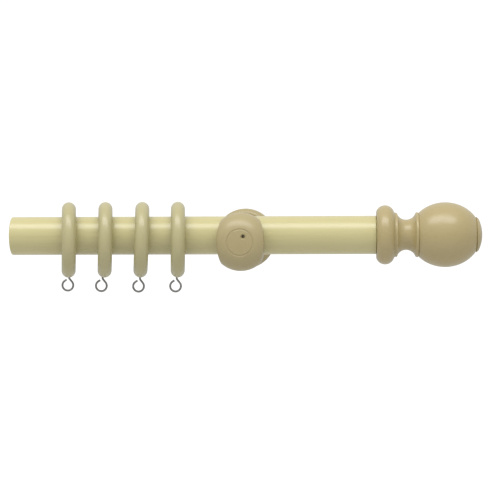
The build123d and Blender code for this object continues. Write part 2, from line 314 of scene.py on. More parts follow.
plate_low, plate_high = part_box("wall_plate")
plate_radius = (plate_high.x - plate_low.x) * 500
plate_thickness = (plate_high.y - plate_low.y) * 1000
stud_hole_radius = 3.05
wall_hole_radius = 2.3
wall_hole_spacing = 22.0
countersink_radius = 4.2
overshoot = 0.001
sink_overshoot = 0.0002
outward = Vector((0, -1, 0))
plate_section = [(0, stud_hole_radius), (0, plate_radius), (plate_thickness, plate_radius),
                 (plate_thickness, stud_hole_radius)]
plate = new_piece(spun(plate_section, (0, 0, 0), outward, 128, ease=0.4, closed=True),
                  "zinc_wall_plate")
wall_hole = wall_hole_radius * 0.001
sink = (countersink_radius - wall_hole_radius) * 0.001
for height in (-wall_hole_spacing / 2000, wall_hole_spacing / 2000):
    back = Vector((0, overshoot, height))
    front = Vector((0, plate_low.y, height))
    cut(plate, drill(wall_hole, wall_hole, back, front + outward * overshoot))
    cut(plate, drill(wall_hole, countersink_radius * 0.001 + sink_overshoot,
                     front - outward * sink, front + outward * sink_overshoot))
finish_piece(plate, "wall_plate", "bracket", [zinc])

# ---------- mount stud and its nut
# An M6 steel stud through the middle of the plate, and the hexagon nut that locks it there.
# Both have rolled threads with softened crests and chamfered ends, zinc plated like the plate.


def rows(start, end, spacing):
    """Even steps from one place to another, both included."""
    count = max(1, round(abs(end - start) / spacing))
    return [start + (end - start) * step / count for step in range(count + 1)]


def roll_thread(bm, origin, axis, start, end, pitch, depth, crest=0.5, inside=False):
    """Presses a helical thread into a round wall, between two places in millimetres."""
    along = Vector(axis)
    origin = Vector(origin)
    side = Vector((0, 0, 1))
    other = along.cross(side)
    hollow = bm.verts.layers.float["hollow"]
    wall = [v for v in bm.verts if start < (v.co - origin).dot(along) * 1000 < end]
    for vert in wall:
        offset = vert.co - origin
        place = offset.dot(along) * 1000
        flat = offset - along * offset.dot(along)
        angle = atan2(flat.dot(other), flat.dot(side)) / (2 * pi)
        phase = (place / pitch - angle) % 1
        valley = min(1.0, max(0.0, (abs(phase - 0.5) * 2 - crest) / (1 - crest)))
        fade = min(1.0, (place - start) / pitch, (end - place) / pitch)
        valley *= fade
        change = depth * valley * (0.001 if inside else -0.001)
        vert.co += flat.normalized() * change
        vert[hollow] = max(vert[hollow], valley * 0.7)


stud_low, stud_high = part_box("mount_stud")
stud_radius = (stud_high.x - stud_low.x) * 500
stud_back = -stud_high.y * 1000
stud_front = -stud_low.y * 1000
stud_pitch = 1.0
stud_point = 0.7
stud_plain = 0.8
stud_section = [(stud_back, 0), (stud_back, stud_radius - stud_point),
                (stud_back + stud_point, stud_radius)]
stud_rows = rows(stud_back + 1, stud_front - 1, stud_pitch / 9)
stud_section += [(place, stud_radius) for place in stud_rows]
stud_section += [(stud_front - stud_point, stud_radius), (stud_front, stud_radius - stud_point),
                 (stud_front, 0)]
stud_mesh = spun(stud_section, (0, 0, 0), outward, 48, ease=0.1)
roll_thread(stud_mesh, (0, 0, 0), outward, stud_back + stud_plain, stud_front - stud_plain,
            stud_pitch, 0.55, 0.35)
finish_piece(new_piece(stud_mesh, "threaded_stud"), "mount_stud", "bracket", [zinc],
             sharp=60)

nut_low, nut_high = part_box("stud_nut")
nut_back = -nut_high.y * 1000
nut_front = -nut_low.y * 1000
nut_corner = (nut_high.x - nut_low.x) * 500
nut_bore = stud_radius + 0.05
nut_mouth = 0.3
nut_face = nut_corner - 1.2
nut_chamfer = 0.5
nut_section = [(nut_back, nut_bore + nut_mouth), (nut_back, nut_face),
               (nut_back + nut_chamfer, nut_corner), (nut_front - nut_chamfer, nut_corner),
               (nut_front, nut_face), (nut_front, nut_bore + nut_mouth)]
nut_wall = rows(nut_front - nut_mouth, nut_back + nut_mouth, stud_pitch / 8)
nut_section += [(place, nut_bore) for place in nut_wall]
nut = new_piece(spun(nut_section, (0, 0, 0), outward, 96, ease=0.1, closed=True), "hexagon_nut")
hexagon = bmesh.new()
hexagon_turn = Matrix.Rotation(pi / 2, 4, "X") @ Matrix.Rotation(pi / 6, 4, "Z")
bmesh.ops.create_cone(hexagon, cap_ends=True, segments=6, radius1=nut_corner * 0.001,
                      radius2=nut_corner * 0.001, depth=0.03, matrix=hexagon_turn)
cut(nut, hexagon, "INTERSECT")
finish_piece(nut, "stud_nut", "bracket", [zinc], sharp=25)

# ---------- rosette
# The round turned wood that covers the plate and spaces the arm off the wall. Its outside is
# sanded and sprayed with satin paint; the pocket and the face against the wall stay raw wood.


def grain_under_paint():
    """Shader group for sprayed wood: grain, lathe marks, orange peel, dust nibs, painted shade in
    hollows and lightened ridges.
    """
    tree, given, result = shader_group(
        "paint over wood",
        [("Paint", "Color", (0.5, 0.45, 0.3, 1)), ("Primer And Highlight", "Color", (0.7, 0.66, 0.55, 1)),
         ("Grain And Hollow Shade", "Color", (0.3, 0.26, 0.14, 1)), ("Roughness", "Float", 0.35),
         ("Grain Stretch", "Vector", (0.05, 1, 1)), ("Lathe Stretch", "Vector", (1, 0, 0)),
         ("Grain Depth", "Float", 0.01), ("Lathe Depth", "Float", 0.005), ("Ridge", "Float", 0.0),
         ("Hollow", "Float", 0.0), ("Wear And Highlight", "Float", 0.3)],
        [("Color", "Color"), ("Roughness", "Float"), ("Height", "Float")])
    place = put_node(tree, "ShaderNodeTexCoord").outputs["Object"]
    grain_place = put_node(tree, "ShaderNodeMapping",
                           {"Vector": place, "Scale": given["Grain Stretch"]})
    lathe_place = put_node(tree, "ShaderNodeMapping",
                           {"Vector": place, "Scale": given["Lathe Stretch"]})
    grain = noise_at(tree, grain_place.outputs[0], 900.0, 5.0, 0.62)
    pores = faded(tree, noise_at(tree, grain_place.outputs[0], 2600.0, 2.0), 0.62, 0.74)
    lathe = noise_at(tree, lathe_place.outputs[0], 1500.0, 3.0, 0.6)
    clouds = noise_at(tree, place, 45.0, 3.0)
    smudges = noise_at(tree, place, 140.0, 4.0, 0.6)
    peel = noise_at(tree, place, 1100.0, 2.0)
    specks = put_node(tree, "ShaderNodeTexVoronoi",
                      {"Vector": place, "Scale": 190.0, "Randomness": 1.0})
    nibs = faded(tree, specks.outputs["Distance"], 0.035, 0.09, 1.0, 0.0)

    tone = blended(tree, faded(tree, clouds, 0.3, 0.7, 0.0, 0.07), given["Paint"], given["Primer And Highlight"])
    streaks = product(tree, faded(tree, grain, 0.48, 0.75), 0.16)
    tone = blended(tree, streaks, tone, given["Grain And Hollow Shade"])
    tone = blended(tree, product(tree, pores, 0.12), tone, given["Grain And Hollow Shade"])
    # Painted shade: the piece's grooves, seams and inner corners are darkened toward the dark tone,
    # standing in for the shade that falls there.
    hollow_shade = product(tree, given["Hollow"], 0.5)
    tone = blended(tree, hollow_shade, tone, given["Grain And Hollow Shade"])
    # Ridges are lightened toward the lighter tone: worn paint where the wear value is low, painted
    # highlights on the ridges where it is high.
    ridge_wear_and_highlight = product(tree, given["Ridge"], faded(tree, smudges, 0.38, 0.58, 0.35, 1.0))
    ridge_wear_and_highlight = product(tree, ridge_wear_and_highlight, given["Wear And Highlight"])
    tone = blended(tree, ridge_wear_and_highlight, tone, given["Primer And Highlight"])
    tree.links.new(tone, result["Color"])

    rough = product(tree, faded(tree, smudges, 0.35, 0.7), 0.07, given["Roughness"])
    rough = product(tree, ridge_wear_and_highlight, 0.15, rough)
    tree.links.new(product(tree, hollow_shade, 0.08, rough), result["Roughness"])

    height = product(tree, grain, given["Grain Depth"])
    height = product(tree, product(tree, pores, given["Grain Depth"]), -0.5, height)
    height = product(tree, lathe, given["Lathe Depth"], height)
    height = product(tree, peel, 0.006, height)
    tree.links.new(product(tree, nibs, 0.02, height), result["Height"])
    return tree


def painted_wood(name, paint, roughness, grain_stretch, lathe_stretch, grain_depth, lathe_depth,
                 wear_and_highlight=0.3):
    """A painted material, with the grain and lathe marks of its own piece."""
    # Lighter tone for random clouds, worn ridges and painted highlights on ridges.
    primer_and_highlight = [channel ** 0.7 for channel in paint]
    # Darker tone for grain streaks and pores, and for the painted shade in the hollows.
    hollow_shade = [channel ** 1.25 * 0.72 for channel in paint]
    values = {"Paint": (*paint, 1), "Primer And Highlight": (*primer_and_highlight, 1), "Grain And Hollow Shade": (*hollow_shade, 1),
              "Roughness": roughness, "Grain Stretch": grain_stretch,
              "Lathe Stretch": lathe_stretch, "Grain Depth": grain_depth,
              "Lathe Depth": lathe_depth, "Wear And Highlight": wear_and_highlight}
    material, shader = grouped_material(name, paint_over_wood, values)
    shader.inputs["Coat Weight"].default_value = 0.35
    shader.inputs["Coat Roughness"].default_value = 0.24
    return material


def raw_grain():
    """Shader group for bare wood: growth rings round a heart beside the piece, and pores."""
    tree, given, result = shader_group(
        "bare wood",
        [("Early Wood", "Color", (0.62, 0.43, 0.24, 1)),
         ("Late Wood", "Color", (0.36, 0.21, 0.1, 1)),
         ("Heart", "Vector", (0, 0, 0)), ("Stretch", "Vector", (0.03, 1, 1)),
         ("Rings", "Float", 520.0)],
        [("Color", "Color"), ("Roughness", "Float"), ("Height", "Float")])
    place = put_node(tree, "ShaderNodeTexCoord").outputs["Object"]
    centred = put_node(tree, "ShaderNodeVectorMath", {0: place, 1: given["Heart"]},
                       operation="SUBTRACT")
    squeezed = put_node(tree, "ShaderNodeVectorMath", {0: centred.outputs[0], 1: given["Stretch"]},
                        operation="MULTIPLY")
    wander = noise_at(tree, squeezed.outputs[0], 90.0, 3.0)
    reach = put_node(tree, "ShaderNodeVectorMath", {0: squeezed.outputs[0]},
                     operation="LENGTH").outputs["Value"]
    turns = product(tree, reach, given["Rings"], product(tree, wander, 3.2))
    phase = put_node(tree, "ShaderNodeMath", {0: turns}, operation="FRACT").outputs[0]
    late = product(tree, faded(tree, phase, 0.35, 0.92), faded(tree, phase, 0.93, 1.0, 1.0, 0.0))
    fibres = noise_at(tree, squeezed.outputs[0], 3800.0, 4.0, 0.65)
    pores = put_node(tree, "ShaderNodeTexVoronoi", {"Vector": squeezed.outputs[0], "Scale": 2600.0})
    pore_mask = faded(tree, pores.outputs["Distance"], 0.12, 0.3, 1.0, 0.0)
    amount = product(tree, late, 0.6, product(tree, fibres, 0.35))
    tone = blended(tree, amount, given["Early Wood"], given["Late Wood"])
    tone = blended(tree, product(tree, pore_mask, 0.55), tone, (0.12, 0.07, 0.035, 1))
    tree.links.new(tone, result["Color"])
    tree.links.new(product(tree, fibres, 0.2, 0.6), result["Roughness"])
    height = product(tree, late, 0.015, product(tree, fibres, 0.03))
    tree.links.new(product(tree, pore_mask, -0.05, height), result["Height"])
    return tree


def bare_wood(name, heart, stretch, rings=520.0):
    """A bare material with its own heart and direction of grain."""
    values = {"Heart": heart, "Stretch": stretch, "Rings": rings}
    return grouped_material(name, bare_grain, values, marked=False)[0]


def leave_bare(piece, is_bare):
    """Gives the second material to the faces that the spray gun doesn't reach."""
    for face in piece.data.polygons:
        face.material_index = 1 if is_bare(face.center, face.normal) else 0


paint_over_wood = grain_under_paint()
bare_grain = raw_grain()
cream = (0.362, 0.298, 0.142)
turned_across = painted_wood("cream paint on the bracket", cream, 0.40,
                             (1, 1, 0.06), (0, 1, 0), 0.008, 0.008)
bare_bracket = bare_wood("bare wood of the bracket", (0.05, 0, -0.02), (1, 1, 0.04))

rosette_low, rosette_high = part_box("rosette")
rosette_radius = (rosette_high.x - rosette_low.x) * 500
rosette_thickness = (rosette_high.y - rosette_low.y) * 1000
pocket_radius = plate_radius + 0.3
pocket_depth = rosette_thickness - 4.5
spigot_radius = 8.0
spigot_hole = spigot_radius + 0.05
back_round = 1
front_round = 5.0
rosette_section = [(0, pocket_radius), (0, rosette_radius - back_round)]
rosette_section += section_arc((back_round, rosette_radius - back_round),
                               (back_round, back_round), 180, 90, 5)[1:]
rosette_section += section_arc((rosette_thickness - front_round, rosette_radius - front_round),
                               (front_round, front_round), 90, 0, 16)
rosette_section += [(rosette_thickness, spigot_hole), (pocket_depth, spigot_hole),
                    (pocket_depth, pocket_radius)]
rosette = new_piece(spun(rosette_section, (0, 0, 0), outward, 144, closed=True), "painted_rosette")
finish_piece(rosette, "rosette", "bracket", [turned_across, bare_bracket])
rosette_inside = (pocket_radius + 0.01) * 0.001
rosette_bare_end = plate_low.y - 0.0095
faces_wall = 0.7


def off_bracket(place):
    """How far a place is from the bracket's turned axis."""
    return Vector((place.x, place.z)).length


leave_bare(rosette, lambda place, normal: normal.y > faces_wall
           or (off_bracket(place) < rosette_inside and place.y > rosette_bare_end))

# ---------- bracket arm
# One turning across the wall: a spigot, a bead, a waist and a round head. The head is cut with
# a cup that is open at the top, its cheeks are sanded to a slight curve, and the whole is painted.

rod_low, rod_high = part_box("rod")
rod_radius = (rod_high.z - rod_low.z) * 500
rod_centre = (rod_low + rod_high) / 2
rod_reach = -rod_centre.y * 1000
cup_radius = rod_radius + 0.3
head_radius = cup_radius + 6.9
head_back_round = 10.0
head_front_round = 14.7
facet_radius = 9.9
facet_groove = 0.8
facet_crown = 0.5
shoulder_radius = 15.5
shoulder_length = 4.0
waist_radius = 10.5
cheek_half_width = 17.0
cheek_radius = 45.0
pole_room = 0.05
insert_low, insert_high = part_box("arm_insert")
arm_start = -insert_high.y * 1000

cup_back = rod_reach - cup_radius
cup_front = rod_reach + cup_radius
head_back = cup_back - head_back_round
head_back_radius = head_radius - head_back_round
bead_end = rosette_thickness + shoulder_length
facet_turn = asin((facet_radius - (head_radius - head_front_round)) / head_front_round)
facet_edge = cup_front + head_front_round * cos(facet_turn)
facet_tip = facet_edge + facet_crown
cove_start = shoulder_radius - 1.5
cove_half = (head_back - bead_end) / 2
cove_middle = bead_end + cove_half


def prism(corners, sweep):
    """A straight solid from one flat outline, swept one way."""
    solid = bmesh.new()
    outline = solid.faces.new([solid.verts.new(corner) for corner in corners])
    swept = bmesh.ops.extrude_face_region(solid, geom=[outline])["geom"]
    moved = [part for part in swept if isinstance(part, bmesh.types.BMVert)]
    bmesh.ops.translate(solid, verts=moved, vec=sweep)
    return solid


def hollow_between(start, middle, end, steps):
    """Points of the arc through three points of a section."""
    a, b, c = Vector(start), Vector(middle), Vector(end)
    d = 2 * (a.x * (b.y - c.y) + b.x * (c.y - a.y) + c.x * (a.y - b.y))
    x = (a.dot(a) * (b.y - c.y) + b.dot(b) * (c.y - a.y) + c.dot(c) * (a.y - b.y)) / d
    y = (a.dot(a) * (c.x - b.x) + b.dot(b) * (a.x - c.x) + c.dot(c) * (b.x - a.x)) / d
    centre = Vector((x, y))
    first = atan2(a.y - y, a.x - x)
    sweep = (atan2(c.y - y, c.x - x) - first) % (2 * pi)
    inner = (atan2(b.y - y, b.x - x) - first) % (2 * pi)
    sweep = sweep if inner < sweep else sweep - 2 * pi
    reach = (a - centre).length
    angles = [first + sweep * step / steps for step in range(steps + 1)]
    return [(x + reach * cos(angle), y + reach * sin(angle)) for angle in angles]


inner_radius = facet_radius - facet_groove
crown_sphere = (inner_radius ** 2 + facet_crown ** 2) / (2 * facet_crown)
crown_turn = asin(inner_radius / crown_sphere)
arm_section = [(arm_start, 0), (arm_start, spigot_radius), (rosette_thickness, spigot_radius)]
arm_section += hollow_between((rosette_thickness, shoulder_radius - 1),
                              (rosette_thickness + shoulder_length / 2, shoulder_radius),
                              (bead_end, shoulder_radius - 1), 14)
arm_section += hollow_between((bead_end, cove_start), (cove_middle, waist_radius),
                              (head_back, head_back_radius), 28)
arm_section += section_arc((cup_back, head_back_radius), (head_back_round, head_back_round),
                           180, 90, 20)[1:]
arm_section += section_arc((cup_front, head_radius - head_front_round),
                           (head_front_round, head_front_round), 90, degrees(facet_turn), 28)
crown_turns = [crown_turn * (1 - step / 12) for step in range(13)]
arm_section += [(facet_tip - crown_sphere * (1 - cos(turn)), crown_sphere * sin(turn))
                for turn in crown_turns]
arm = new_piece(spun(arm_section, (0, 0, 0), outward, 224, ease=0.2), "painted_bracket_arm")

seat_steps = 72
seat_top = 0.06
seat = []
for step in range(seat_steps + 1):
    angle = pi + pi * step / seat_steps
    seat.append((rod_centre.y + cup_radius * 0.001 * cos(angle),
                 rod_centre.z + cup_radius * 0.001 * sin(angle)))
seat += [(seat[-1][0], seat_top), (seat[0][0], seat_top)]
cut(arm, prism([(-pole_room, y, z) for y, z in seat], (2 * pole_room, 0, 0)))

cheek_steps = 64
cheek_middle = cheek_radius - cheek_half_width
cheek_end = asin(cheek_middle / cheek_radius)
lens = []
for side in (-1, 1):
    for step in range(cheek_steps):
        angle = (pi / 2 - cheek_end) * (2 * step / cheek_steps - 1)
        lens.append((side * (cheek_radius * cos(angle) - cheek_middle) * 0.001,
                     side * cheek_radius * sin(angle) * 0.001))
cut(arm, prism([(x, 0.02, z) for x, z in lens], (0, -0.14, 0)), "INTERSECT")

hole_play = 0.00005
insert_hole = (insert_high.x - insert_low.x) / 2 + hole_play
insert_end = -insert_low.y + 0.0004
stud_hole = 0.0033
stud_well = stud_front * 0.001 + 0.0025
screw_low, screw_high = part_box("lock_screw")
screw_centre = (screw_low + screw_high) / 2
pilot_radius = (screw_high.x - screw_low.x) / 2 + hole_play
mouth_y = -facet_tip * 0.001
cut(arm, drill(insert_hole, insert_hole, (0, 0, 0), (0, -insert_end, 0)))
cut(arm, drill(stud_hole, stud_hole, (0, 0, 0), (0, -stud_well, 0)))

sanding_passes = 3
soft = arm.modifiers.new("soft", "REMESH")
soft.mode = "VOXEL"
soft.voxel_size = 0.0004
applied(arm)
arm_mesh = bmesh.new()
arm_mesh.from_mesh(arm.data)
for _ in range(sanding_passes):
    bmesh.ops.smooth_vert(arm_mesh, verts=arm_mesh.verts, factor=0.5, use_axis_x=True,
                          use_axis_y=True, use_axis_z=True)


def mark_bends(bm, reach):
    """Marks ridges and hollows on a fine mesh from how it bends within reach, in metres."""
    least_ridge = 0.25
    least_hollow = 0.2
    gain = 1.4
    ridge = bm.verts.layers.float.get("ridge") or bm.verts.layers.float.new("ridge")
    hollow = bm.verts.layers.float.get("hollow") or bm.verts.layers.float.new("hollow")
    bm.normal_update()
    for vert in bm.verts:
        around = Vector((0, 0, 0))
        size = 0.0
        for edge in vert.link_edges:
            step = edge.other_vert(vert).co - vert.co
            around += step
            size += step.length_squared
        bend = -2 * around.dot(vert.normal) / max(size, 1e-12) * reach
        vert[ridge] = min(1.0, max(0.0, bend - least_ridge) * gain)
        vert[hollow] = min(1.0, max(0.0, -bend - least_hollow) * gain)


mark_bends(arm_mesh, 0.0006)
arm_mesh.to_mesh(arm.data)
arm_mesh.free()

groove_middle = facet_radius - facet_groove / 2
groove_half = 0.6
groove_standoff = 0.48
groove_tool = section_arc((facet_edge + groove_standoff, groove_middle), (0.72, 0.95), 0, 360, 28)
cut(arm, spun(groove_tool[:-1], (0, 0, 0), outward, 160, closed=True))


def on_pilot(y):
    """A place on the locking screw's axis."""
    return Vector((screw_centre.x, y, screw_centre.z))


mouth_flare = 0.0018
mouth_depth = 0.0012
cut(arm, drill(pilot_radius, pilot_radius, on_pilot(rod_centre.y), on_pilot(mouth_y - 0.003)))
cut(arm, drill(pilot_radius, pilot_radius + mouth_flare, on_pilot(mouth_y + mouth_depth),
               on_pilot(mouth_y - mouth_depth / 2)))
# Painted shade: the facet groove is marked as a hollow, more strongly on its lower side, and the
# locking screw's hole fully, so the paint darkens there as it does in shade.
hollow_marks = arm.data.attributes["hollow"].data
for vert in arm.data.vertices:
    across = off_bracket(vert.co) * 1000
    to_pilot = Vector((vert.co.x - screw_centre.x, vert.co.z - screw_centre.z)).length
    on_front = vert.co.y < mouth_y + 0.006
    if on_front and abs(across - groove_middle) < groove_half:
        below = -min(0.0, vert.co.z * 1000 / groove_middle)
        hollow_marks[vert.index].value = 0.25 + 0.35 * below
    if on_front and to_pilot < pilot_radius + 0.00002:
        hollow_marks[vert.index].value = 1.0
finish_piece(arm, "bracket_arm", "bracket", [turned_across, bare_bracket],
             sharp=40)
spigot_bare_end = -rosette_thickness * 0.001 + 0.0001
bore_bare_radius = 0.0052
bore_bare_end = -stud_well - 0.0003
leave_bare(arm, lambda place, normal: place.y > spigot_bare_end
           or (off_bracket(place) < bore_bare_radius and place.y > bore_bare_end))

# ---------- threaded insert
# A brass bush with a coarse thread outside that bites into the arm, and an M6 thread inside
# that turns onto the stud. Plain turned brass.

brass = metal_finish("turned brass", (0.78, 0.58, 0.25), (0.25, 0.15, 0.05), 0.25, (1, 14, 1))
insert_back = -insert_high.y * 1000
insert_front = -insert_low.y * 1000
insert_radius = (insert_high.x - insert_low.x) * 500
insert_bore = stud_radius + 0.05
insert_section = [(insert_back, insert_bore + 0.4), (insert_back, insert_radius)]
outer_rows = rows(insert_back + 0.6, insert_front - 0.9, 0.2)
inner_rows = rows(insert_front - 0.4, insert_back + 0.4, stud_pitch / 8)
insert_section += [(place, insert_radius) for place in outer_rows]
insert_section += [(insert_front, insert_radius - 0.7), (insert_front, insert_bore + 0.3)]
insert_section += [(place, insert_bore) for place in inner_rows]
insert_mesh = spun(insert_section, (0, 0, 0), outward, 64, ease=0.08, closed=True)
outer_wall = (insert_bore + insert_radius) / 2000
outer_pitch = 2.4
outer_depth = 0.0008
outer_crest = 0.18
outer_flank = 0.3
hollow_layer = insert_mesh.verts.layers.float["hollow"]
for vert in insert_mesh.verts:
    place = -vert.co.y * 1000
    flat = Vector((vert.co.x, 0, vert.co.z))
    if flat.length < outer_wall or not insert_back + 0.5 < place < insert_front - 0.8:
        continue
    phase = (place / outer_pitch - atan2(flat.x, flat.z) / (2 * pi)) % 1
    valley = min(1.0, max(0.0, abs(phase - 0.5) * 2 - outer_crest) / outer_flank)
    vert.co -= flat.normalized() * valley * outer_depth
    vert[hollow_layer] = valley * 0.5
finish_piece(new_piece(insert_mesh, "brass_insert"), "arm_insert", "bracket", [brass],
             sharp=50)

# ---------- pole
# A 28 mm softwood dowel, sanded and sprayed along its length, so its gloss is a little higher
# than the turned pieces'. The left end is sawn square and drilled for a joining screw.

along = Vector((1, 0, 0))
painted_pole = painted_wood("cream paint on the pole", (0.51, 0.46, 0.222), 0.28,
                            (0.025, 1, 1), (0, 0, 0), 0.010, 0.0)
pole_heart = (0, rod_centre.y + 0.031, rod_centre.z - 0.024)
bare_end = bare_wood("sawn end of the pole", pole_heart, (0.02, 1, 1), 560.0)
pole_left = rod_low.x * 1000
pole_right = rod_high.x * 1000
pole_edge = 0.5
joint_radius = 2.5
joint_depth = 32.0
screw_hole_radius = 2.55
screw_hole_depth = 24.4
drill_point = 0.6
pole_section = [(pole_left + joint_depth + joint_radius * drill_point, 0),
                (pole_left + joint_depth, joint_radius), (pole_left, joint_radius),
                (pole_left, rod_radius - pole_edge), (pole_left + pole_edge, rod_radius)]
pole_section += [(place, rod_radius) for place in rows(pole_left + 4, pole_right - 4, 12.0)]
pole_section += [(pole_right - pole_edge, rod_radius), (pole_right, rod_radius - pole_edge),
                 (pole_right, screw_hole_radius),
                 (pole_right - screw_hole_depth, screw_hole_radius),
                 (pole_right - screw_hole_depth - screw_hole_radius * drill_point, 0)]
pole_axis = Vector((0, rod_centre.y, rod_centre.z))
pole = new_piece(spun(pole_section, pole_axis, along, 160, ease=0.3), "painted_pole")
finish_piece(pole, "rod", "pole", [painted_pole, bare_end])


def off_axis(place):
    """How far a place is from the pole's axis."""
    return Vector((place.y - rod_centre.y, place.z - rod_centre.z)).length


pole_bare_radius = (rod_radius - pole_edge - 0.1) * 0.001
leave_bare(pole, lambda place, normal: off_axis(place) < pole_bare_radius)

# ---------- locking screw
# A short grub screw with a hexagon socket, run into the front of the head until its tip is
# close to the pole. Blackened steel, sunk in its hole.

blackened = metal_finish("blackened steel", (0.24, 0.21, 0.15), (0.05, 0.045, 0.03), 0.42)
grub_radius = (screw_high.x - screw_low.x) * 500
grub_tip = -screw_high.y * 1000
grub_head = -screw_low.y * 1000
grub_axis = on_pilot(0)
grub_cone = 0.5
grub_edge = 0.3
socket_depth = 1.3
socket_radius = 0.0006
grub_section = [(grub_tip + grub_edge, 0), (grub_tip, grub_cone),
                (grub_tip + grub_cone, grub_radius)]
grub_rows = rows(grub_tip + 0.6, grub_head - 0.5, 0.06)
grub_section += [(place, grub_radius) for place in grub_rows]
grub_section += [(grub_head - grub_edge, grub_radius), (grub_head, grub_radius - grub_edge),
                 (grub_head, 0)]
grub_mesh = spun(grub_section, grub_axis, outward, 32, ease=0.05)
roll_thread(grub_mesh, grub_axis, outward, grub_tip + grub_cone, grub_head - 0.4, 0.45, 0.22, 0.3)
grub = new_piece(grub_mesh, "locking_screw")
socket_floor = on_pilot(-(grub_head - socket_depth) * 0.001)
socket_mouth = on_pilot(-(grub_head + 0.3) * 0.001)
cut(grub, drill(socket_radius, socket_radius, socket_floor, socket_mouth, sides=6))
finish_piece(grub, "lock_screw", "lock_screw", [blackened], sharp=50)

# ---------- finial screw
# The double-ended wood screw that joins the finial to the pole: two coarse threads that meet at
# a plain middle, each with its own point. Zinc-plated steel.

dowel_low, dowel_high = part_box("finial_screw")
dowel_radius = (dowel_high.z - dowel_low.z) * 500
dowel_left = dowel_low.x * 1000
dowel_right = dowel_high.x * 1000
dowel_middle = pole_right
dowel_core = dowel_radius - 0.85
dowel_plain = 3.0
dowel_taper = 5.0
dowel_pitch = 2.2
plain_left = dowel_middle - dowel_plain
plain_right = dowel_middle + dowel_plain
dowel_rows = rows(dowel_left + dowel_taper + 0.1, plain_left, dowel_pitch / 12)
dowel_rows += rows(plain_right, dowel_right - dowel_taper - 0.1, dowel_pitch / 12)
dowel_section = [(dowel_left, 0), (dowel_left + dowel_taper, dowel_radius)]
dowel_section += [(place, dowel_radius) for place in dowel_rows]
dowel_section += [(dowel_right - dowel_taper, dowel_radius), (dowel_right, 0)]
dowel_mesh = spun(dowel_section, pole_axis, along, 48, ease=0.05)
for start, end in ((dowel_left, plain_left), (plain_right, dowel_right)):
    roll_thread(dowel_mesh, pole_axis, along, start, end, dowel_pitch, dowel_radius - dowel_core,
                0.12)
finish_piece(new_piece(dowel_mesh, "double_ended_screw"), "finial_screw", "finial",
             [zinc], sharp=70)

# ---------- ball finial
# A single turning: a full collar bead against the pole, a fillet, a cove neck, a thin neck
# ring, a slightly long ball and a button at the tip. Sprayed with the same satin cream paint.

# Ridge wear of 0.85 paints highlights on the finial's bead, neck ring and button rim.
turned_along = painted_wood("cream paint on the finial", (0.385, 0.308, 0.141), 0.33,
                            (0.06, 1, 1), (1, 0, 0), 0.006, 0.010, 0.85)
finial_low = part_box("finial")[0]
bare_finial = bare_wood("bare wood inside the finial", pole_heart, (0.03, 1, 1))
collar_radius = rod_radius + 7.6
collar_face = rod_radius + 3.5
collar_bead = 6.8
step_radius = 16.6
step_length = 2.4
neck_radius = 11.05
cove_radius = 7.2
cove_mouth = 14.8
neck_ring_radius = 16.4
neck_ring_length = 2.4
ball_radius = 23.6
ball_half = 26.1
button_radius = 13.0
button_rim = 1.5
button_taper = 1.4
button_dome = 2.7
groove = 0.5

bead_axis = collar_radius - collar_bead
bead_middle = sqrt(collar_bead ** 2 - (collar_face - bead_axis) ** 2)
bead_start_turn = 180 - degrees(asin((collar_face - bead_axis) / collar_bead))
bead_end_turn = degrees(asin((step_radius - bead_axis) / collar_bead))
collar_end = bead_middle + sqrt(collar_bead ** 2 - (step_radius - bead_axis) ** 2)
step_end = collar_end + step_length
cove_axis = neck_radius + cove_radius
cove_reach = sqrt(cove_radius ** 2 - (cove_axis - cove_mouth) ** 2)
cove_middle_x = step_end + cove_reach
cove_end = cove_middle_x + cove_reach
ring_end = cove_end + neck_ring_length
ball_start = asin((neck_ring_radius - groove / 2) / ball_radius)
ball_middle = ring_end + groove + ball_half * cos(ball_start)
ball_end = asin((button_radius - groove) / ball_radius)
rim_start = ball_middle + ball_half * cos(ball_end) + groove
rim_end = rim_start + button_rim
dome_radius = button_radius - button_taper
finial_tip = rim_end + button_dome
dome_sphere = (dome_radius ** 2 + button_dome ** 2) / (2 * button_dome)
dome_turn = asin(dome_radius / dome_sphere)
finial_bore = 26.4

finial_section = [(finial_bore + screw_hole_radius * drill_point, 0),
                  (finial_bore, screw_hole_radius), (0, screw_hole_radius), (0, collar_face)]
finial_section += section_arc((bead_middle, bead_axis), (collar_bead, collar_bead), bead_start_turn,
                              bead_end_turn, 40)[1:]
finial_section += [(collar_end + groove, step_radius - groove * 0.8),
                   (step_end - 0.5, step_radius - groove), (step_end, step_radius - groove - 0.5)]
finial_section += hollow_between((step_end, cove_mouth), (cove_middle_x, neck_radius),
                                 (cove_end, cove_mouth), 32)
finial_section += hollow_between((cove_end + groove, neck_ring_radius - groove),
                                 ((cove_end + groove + ring_end) / 2, neck_ring_radius),
                                 (ring_end, neck_ring_radius - groove / 2), 10)
finial_section += [(ring_end + groove * 0.5, neck_ring_radius - groove * 1.4)]
finial_section += section_arc((ball_middle, 0), (ball_half, ball_radius), 180 - degrees(ball_start),
                              degrees(ball_end), 72)
finial_section += [(rim_start - groove * 0.4, button_radius - groove * 1.7),
                   (rim_start, button_radius)]
dome_turns = [dome_turn * (1 - step / 14) for step in range(15)]
finial_section += [(finial_tip - dome_sphere * (1 - cos(turn)), dome_sphere * sin(turn))
                   for turn in dome_turns]
finial_base = Vector((finial_low.x, rod_centre.y, rod_centre.z))
finial = new_piece(spun(finial_section, finial_base, along, 176, ease=0.35), "ball_finial")
finish_piece(finial, "finial", "finial", [turned_along, bare_finial])
finial_bare = (screw_hole_radius + 0.4) * 0.001
finial_bare_end = finial_low.x + 0.03
leave_bare(finial, lambda place, normal: off_axis(place) < finial_bare
           and place.x < finial_bare_end)

# ---------- rings and screw eyes
# Four turned wooden rings with an oval section, painted like the bracket, each drilled once for
# its screw eye. The eye is 1.5 mm wire, bent into a round loop with a thread on its shank.

